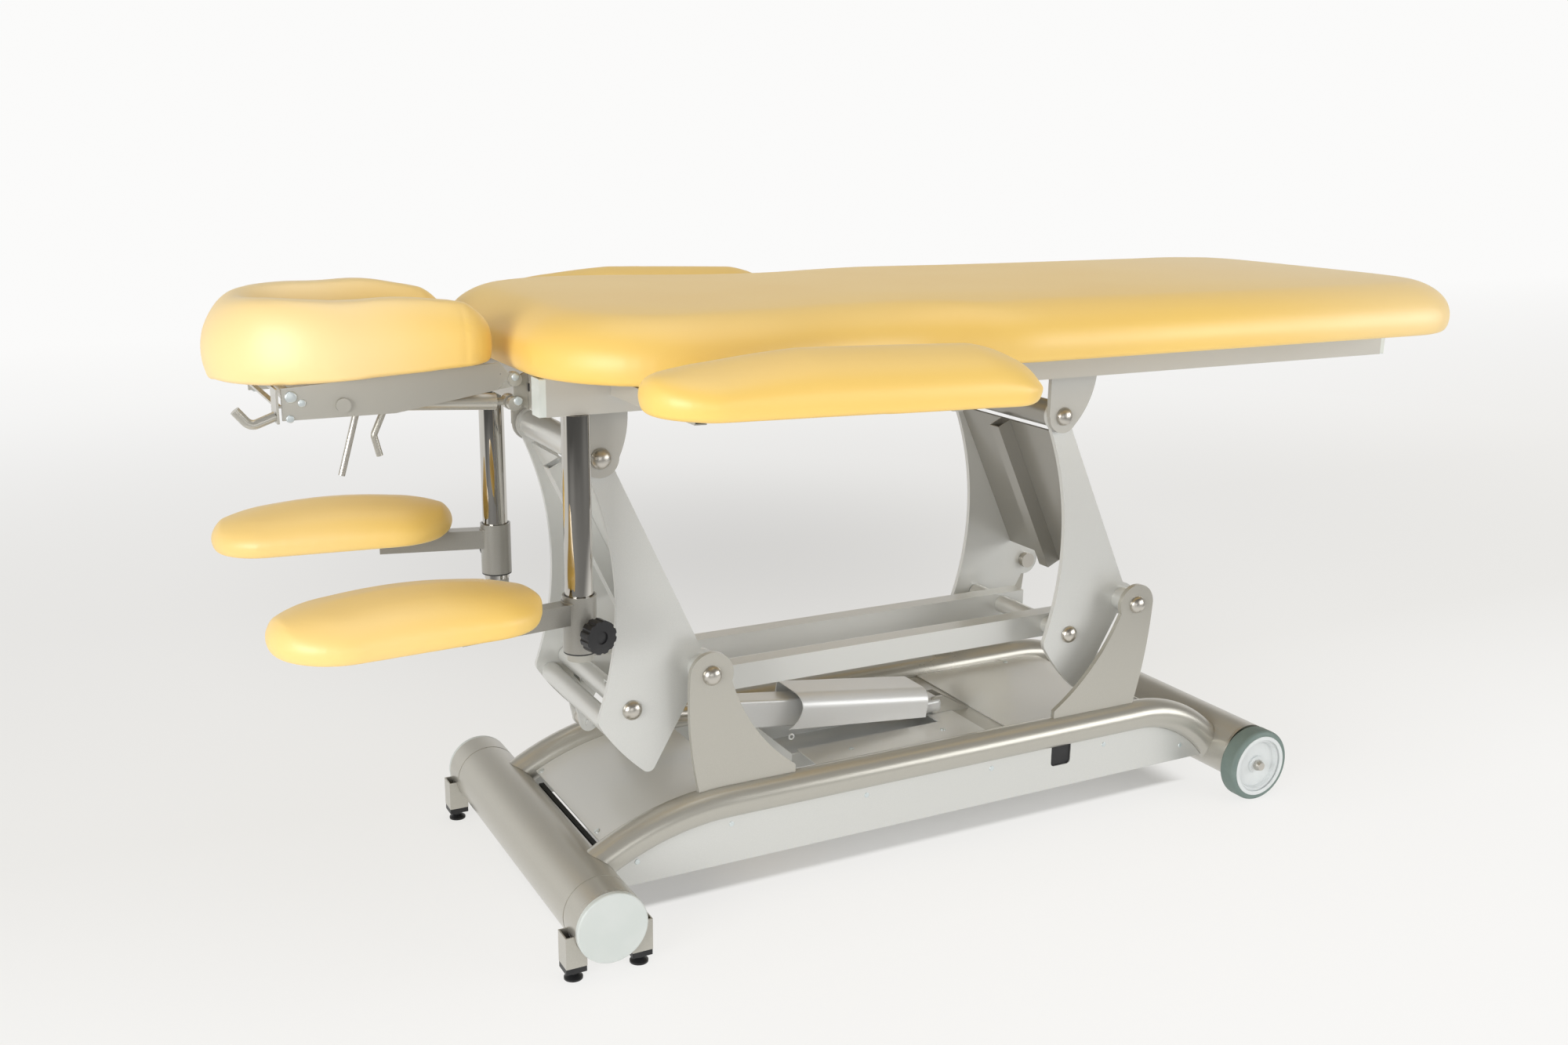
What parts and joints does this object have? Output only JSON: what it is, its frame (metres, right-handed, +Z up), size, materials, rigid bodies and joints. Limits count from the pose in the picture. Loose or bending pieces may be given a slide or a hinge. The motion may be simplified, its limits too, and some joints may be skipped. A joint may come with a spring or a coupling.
{
  "type": "massage table",
  "caption": "Padded massage table with a slotted tilting head rest, lowered and side arm rests, and a parallelogram lift on a wheeled tube base.",
  "frame": {"origin": "on the floor under the middle of the whole object's length and width", "axes": "+X towards the foot end, +Y towards the far side, +Z up"},
  "size_m": [1.9879, 1.14, 0.9126],
  "materials": {
    "champagne_paint": "metallic, satin gloss",
    "silver_paint": "metallic, satin gloss",
    "bright_steel": "polished nickel plate",
    "chrome_tube": "mirror chrome",
    "brushed_hood": "satin, brushed along its length",
    "black_plastic": "fine matte",
    "pale_plastic": "smooth, slightly glossy",
    "white_plastic": "smooth gloss",
    "grey_tyre": "soft matte tread",
    "yellow_leatherette": "soft satin with a fine grain"
  },
  "bodies": {
    "base": {"front_cross_tube": "champagne_paint", "rear_cross_tube": "champagne_paint", "side_tube_near": "champagne_paint", "side_tube_far": "champagne_paint", "cross_members": "champagne_paint", "front_fins": "champagne_paint", "rear_fins": "champagne_paint", "base_covers": "silver_paint", "side_skirts": "silver_paint", "front_legs": "champagne_paint", "leg_inserts": "black_plastic", "front_end_caps": "pale_plastic", "wheel_axles": "bright_steel", "base_pivot_bolts": "bright_steel"},
    "glide_front_near": {"glide_front_near": "black_plastic"},
    "glide_front_far": {"glide_front_far": "black_plastic"},
    "glide_back_near": {"glide_back_near": "black_plastic"},
    "glide_back_far": {"glide_back_far": "black_plastic"},
    "wheel_near": {"wheel_hub_near": "white_plastic", "wheel_tyre_near": "grey_tyre"},
    "wheel_far": {"wheel_hub_far": "white_plastic", "wheel_tyre_far": "grey_tyre"},
    "front_arms": {"front_arm_near": "silver_paint", "front_arm_far": "silver_paint", "front_arm_frame": "silver_paint"},
    "rear_arms": {"rear_arm_near": "silver_paint", "rear_arm_far": "silver_paint", "rear_arm_frame": "silver_paint"},
    "tie": {"tie_bars": "silver_paint", "tie_sleeves": "silver_paint", "link_bolts": "bright_steel"},
    "actuator_rod": {"actuator_rod": "bright_steel"},
    "actuator_housing": {"actuator_body": "silver_paint", "actuator_hood": "brushed_hood"},
    "top_frame": {"side_rails": "champagne_paint", "rail_caps": "pale_plastic", "crossbeams": "champagne_paint", "lift_brackets": "champagne_paint", "top_pivot_bolts": "bright_steel", "columns": "chrome_tube", "main_pad": "yellow_leatherette"},
    "side_rest_near": {"side_arm_bracket_near": "champagne_paint", "side_arm_pad_near": "yellow_leatherette"},
    "side_rest_far": {"side_arm_bracket_far": "champagne_paint", "side_arm_pad_far": "yellow_leatherette"},
    "headrest": {"headrest_frame": "champagne_paint", "headrest_pad": "yellow_leatherette"},
    "strut_tube": {"strut_tube": "bright_steel"},
    "strut_rod": {"strut_rod": "bright_steel"},
    "release_lever": {"release_lever": "bright_steel"},
    "clamp_rod": {"clamp_rod": "bright_steel"},
    "collar_liner_near": {"collar_liner_near": "black_plastic"},
    "collar_liner_far": {"collar_liner_far": "black_plastic"},
    "arm_near": {"arm_collar_near": "silver_paint", "lower_pad_near": "yellow_leatherette"},
    "arm_far": {"arm_collar_far": "silver_paint", "lower_pad_far": "yellow_leatherette"},
    "clamp_knob_near": {"clamp_knob_near": "black_plastic"},
    "clamp_knob_far": {"clamp_knob_far": "black_plastic"}
  },
  "joints": [
    {"name": "foot_front_near", "type": "slide", "parent": "base", "child": "glide_front_near", "axis": [0, 0, 1], "range_m": [-0.01, 0]},
    {"name": "foot_front_far", "type": "slide", "parent": "base", "child": "glide_front_far", "axis": [0, 0, 1], "range_m": [-0.01, 0]},
    {"name": "foot_back_near", "type": "slide", "parent": "base", "child": "glide_back_near", "axis": [0, 0, 1], "range_m": [-0.01, 0]},
    {"name": "foot_back_far", "type": "slide", "parent": "base", "child": "glide_back_far", "axis": [0, 0, 1], "range_m": [-0.01, 0]},
    {"name": "wheel_turn_near", "type": "hinge", "parent": "base", "child": "wheel_near", "pos_m": [0.6365, -0.252, 0.0625], "axis": [0, 1, 0], "continuous": true},
    {"name": "wheel_turn_far", "type": "hinge", "parent": "base", "child": "wheel_far", "pos_m": [0.6365, 0.252, 0.0625], "axis": [0, 1, 0], "continuous": true},
    {"name": "lift", "type": "hinge", "parent": "base", "child": "front_arms", "pos_m": [-0.365, 0, 0.359], "axis": [0, 1, 0], "range_deg": [-50, 15]},
    {"name": "rear_lift", "type": "hinge", "parent": "base", "child": "rear_arms", "pos_m": [0.414, 0, 0.359], "axis": [0, 1, 0], "range_deg": [-50, 15]},
    {"name": "top_level", "type": "hinge", "parent": "front_arms", "child": "top_frame", "pos_m": [-0.5165, 0, 0.6818], "axis": [0, 1, 0], "range_deg": [-15, 50]},
    {"name": "tie_level", "type": "hinge", "parent": "front_arms", "child": "tie", "pos_m": [-0.4714, 0, 0.3105], "axis": [0, 1, 0], "range_deg": [-15, 50]},
    {"name": "rod_turn", "type": "hinge", "parent": "front_arms", "child": "actuator_rod", "pos_m": [-0.492, 0, 0.2525], "axis": [0, 1, 0], "range_deg": [-13.05, 43.5]},
    {"name": "rod_reach", "type": "slide", "parent": "actuator_rod", "child": "actuator_housing", "axis": [0.9921, 0, -0.1256], "range_m": [-0.1222, 0.0367]},
    {"name": "headrest_tilt", "type": "hinge", "parent": "top_frame", "child": "headrest", "pos_m": [-0.627, 0, 0.794], "axis": [0, 1, 0], "range_deg": [-30, 8]},
    {"name": "strut_turn", "type": "hinge", "parent": "top_frame", "child": "strut_tube", "pos_m": [-0.627, -0.108, 0.761], "axis": [0, 1, 0], "range_deg": [-29.7, 7.92]},
    {"name": "strut_reach", "type": "slide", "parent": "strut_tube", "child": "strut_rod", "axis": [-0.998, 0, 0.0635], "range_m": [-0.0173, 0.0046]},
    {"name": "lever_pull", "type": "hinge", "parent": "headrest", "child": "release_lever", "pos_m": [-0.774, -0.06, 0.7868], "axis": [0, 1, 0], "range_deg": [0, 12], "stiffness_Nm_per_rad": 2},
    {"name": "clamp_swing", "type": "hinge", "parent": "headrest", "child": "clamp_rod", "pos_m": [-0.807, -0.06, 0.7868], "axis": [0, 1, 0], "range_deg": [-8, 45]},
    {"name": "collar_height_near", "type": "slide", "parent": "top_frame", "child": "collar_liner_near", "axis": [0, 0, 1], "range_m": [-0.01, 0.15]},
    {"name": "arm_swing_near", "type": "hinge", "parent": "collar_liner_near", "child": "arm_near", "pos_m": [-0.564, -0.184, 0.46], "axis": [0, 0, 1], "range_deg": [-20, 72]},
    {"name": "knob_turn_near", "type": "hinge", "parent": "arm_near", "child": "clamp_knob_near", "pos_m": [-0.564, -0.184, 0.46], "axis": [0.225, -0.9744, 0], "continuous": true},
    {"name": "side_rest_near", "type": "slide", "parent": "top_frame", "child": "side_rest_near", "axis": [0, -1, 0], "range_m": [0, 0.05]},
    {"name": "collar_height_far", "type": "slide", "parent": "top_frame", "child": "collar_liner_far", "axis": [0, 0, 1], "range_m": [-0.01, 0.15]},
    {"name": "arm_swing_far", "type": "hinge", "parent": "collar_liner_far", "child": "arm_far", "pos_m": [-0.564, 0.184, 0.46], "axis": [0, 0, 1], "range_deg": [-67, 25]},
    {"name": "knob_turn_far", "type": "hinge", "parent": "arm_far", "child": "clamp_knob_far", "pos_m": [-0.564, 0.184, 0.474], "axis": [0.225, 0.9744, 0], "continuous": true},
    {"name": "side_rest_far", "type": "slide", "parent": "top_frame", "child": "side_rest_far", "axis": [0, 1, 0], "range_m": [0, 0.05]}
  ],
  "couplings": [
    {"joint": "rear_lift", "follows": "lift", "ratio": 1},
    {"joint": "top_level", "follows": "lift", "ratio": -1},
    {"joint": "tie_level", "follows": "lift", "ratio": -1},
    {"joint": "rod_turn", "follows": "lift", "ratio": -0.87},
    {"joint": "rod_reach", "follows": "lift", "m_per_rad": 0.14},
    {"joint": "strut_turn", "follows": "headrest_tilt", "ratio": 0.99},
    {"joint": "strut_reach", "follows": "headrest_tilt", "m_per_rad": 0.0329}
  ]
}
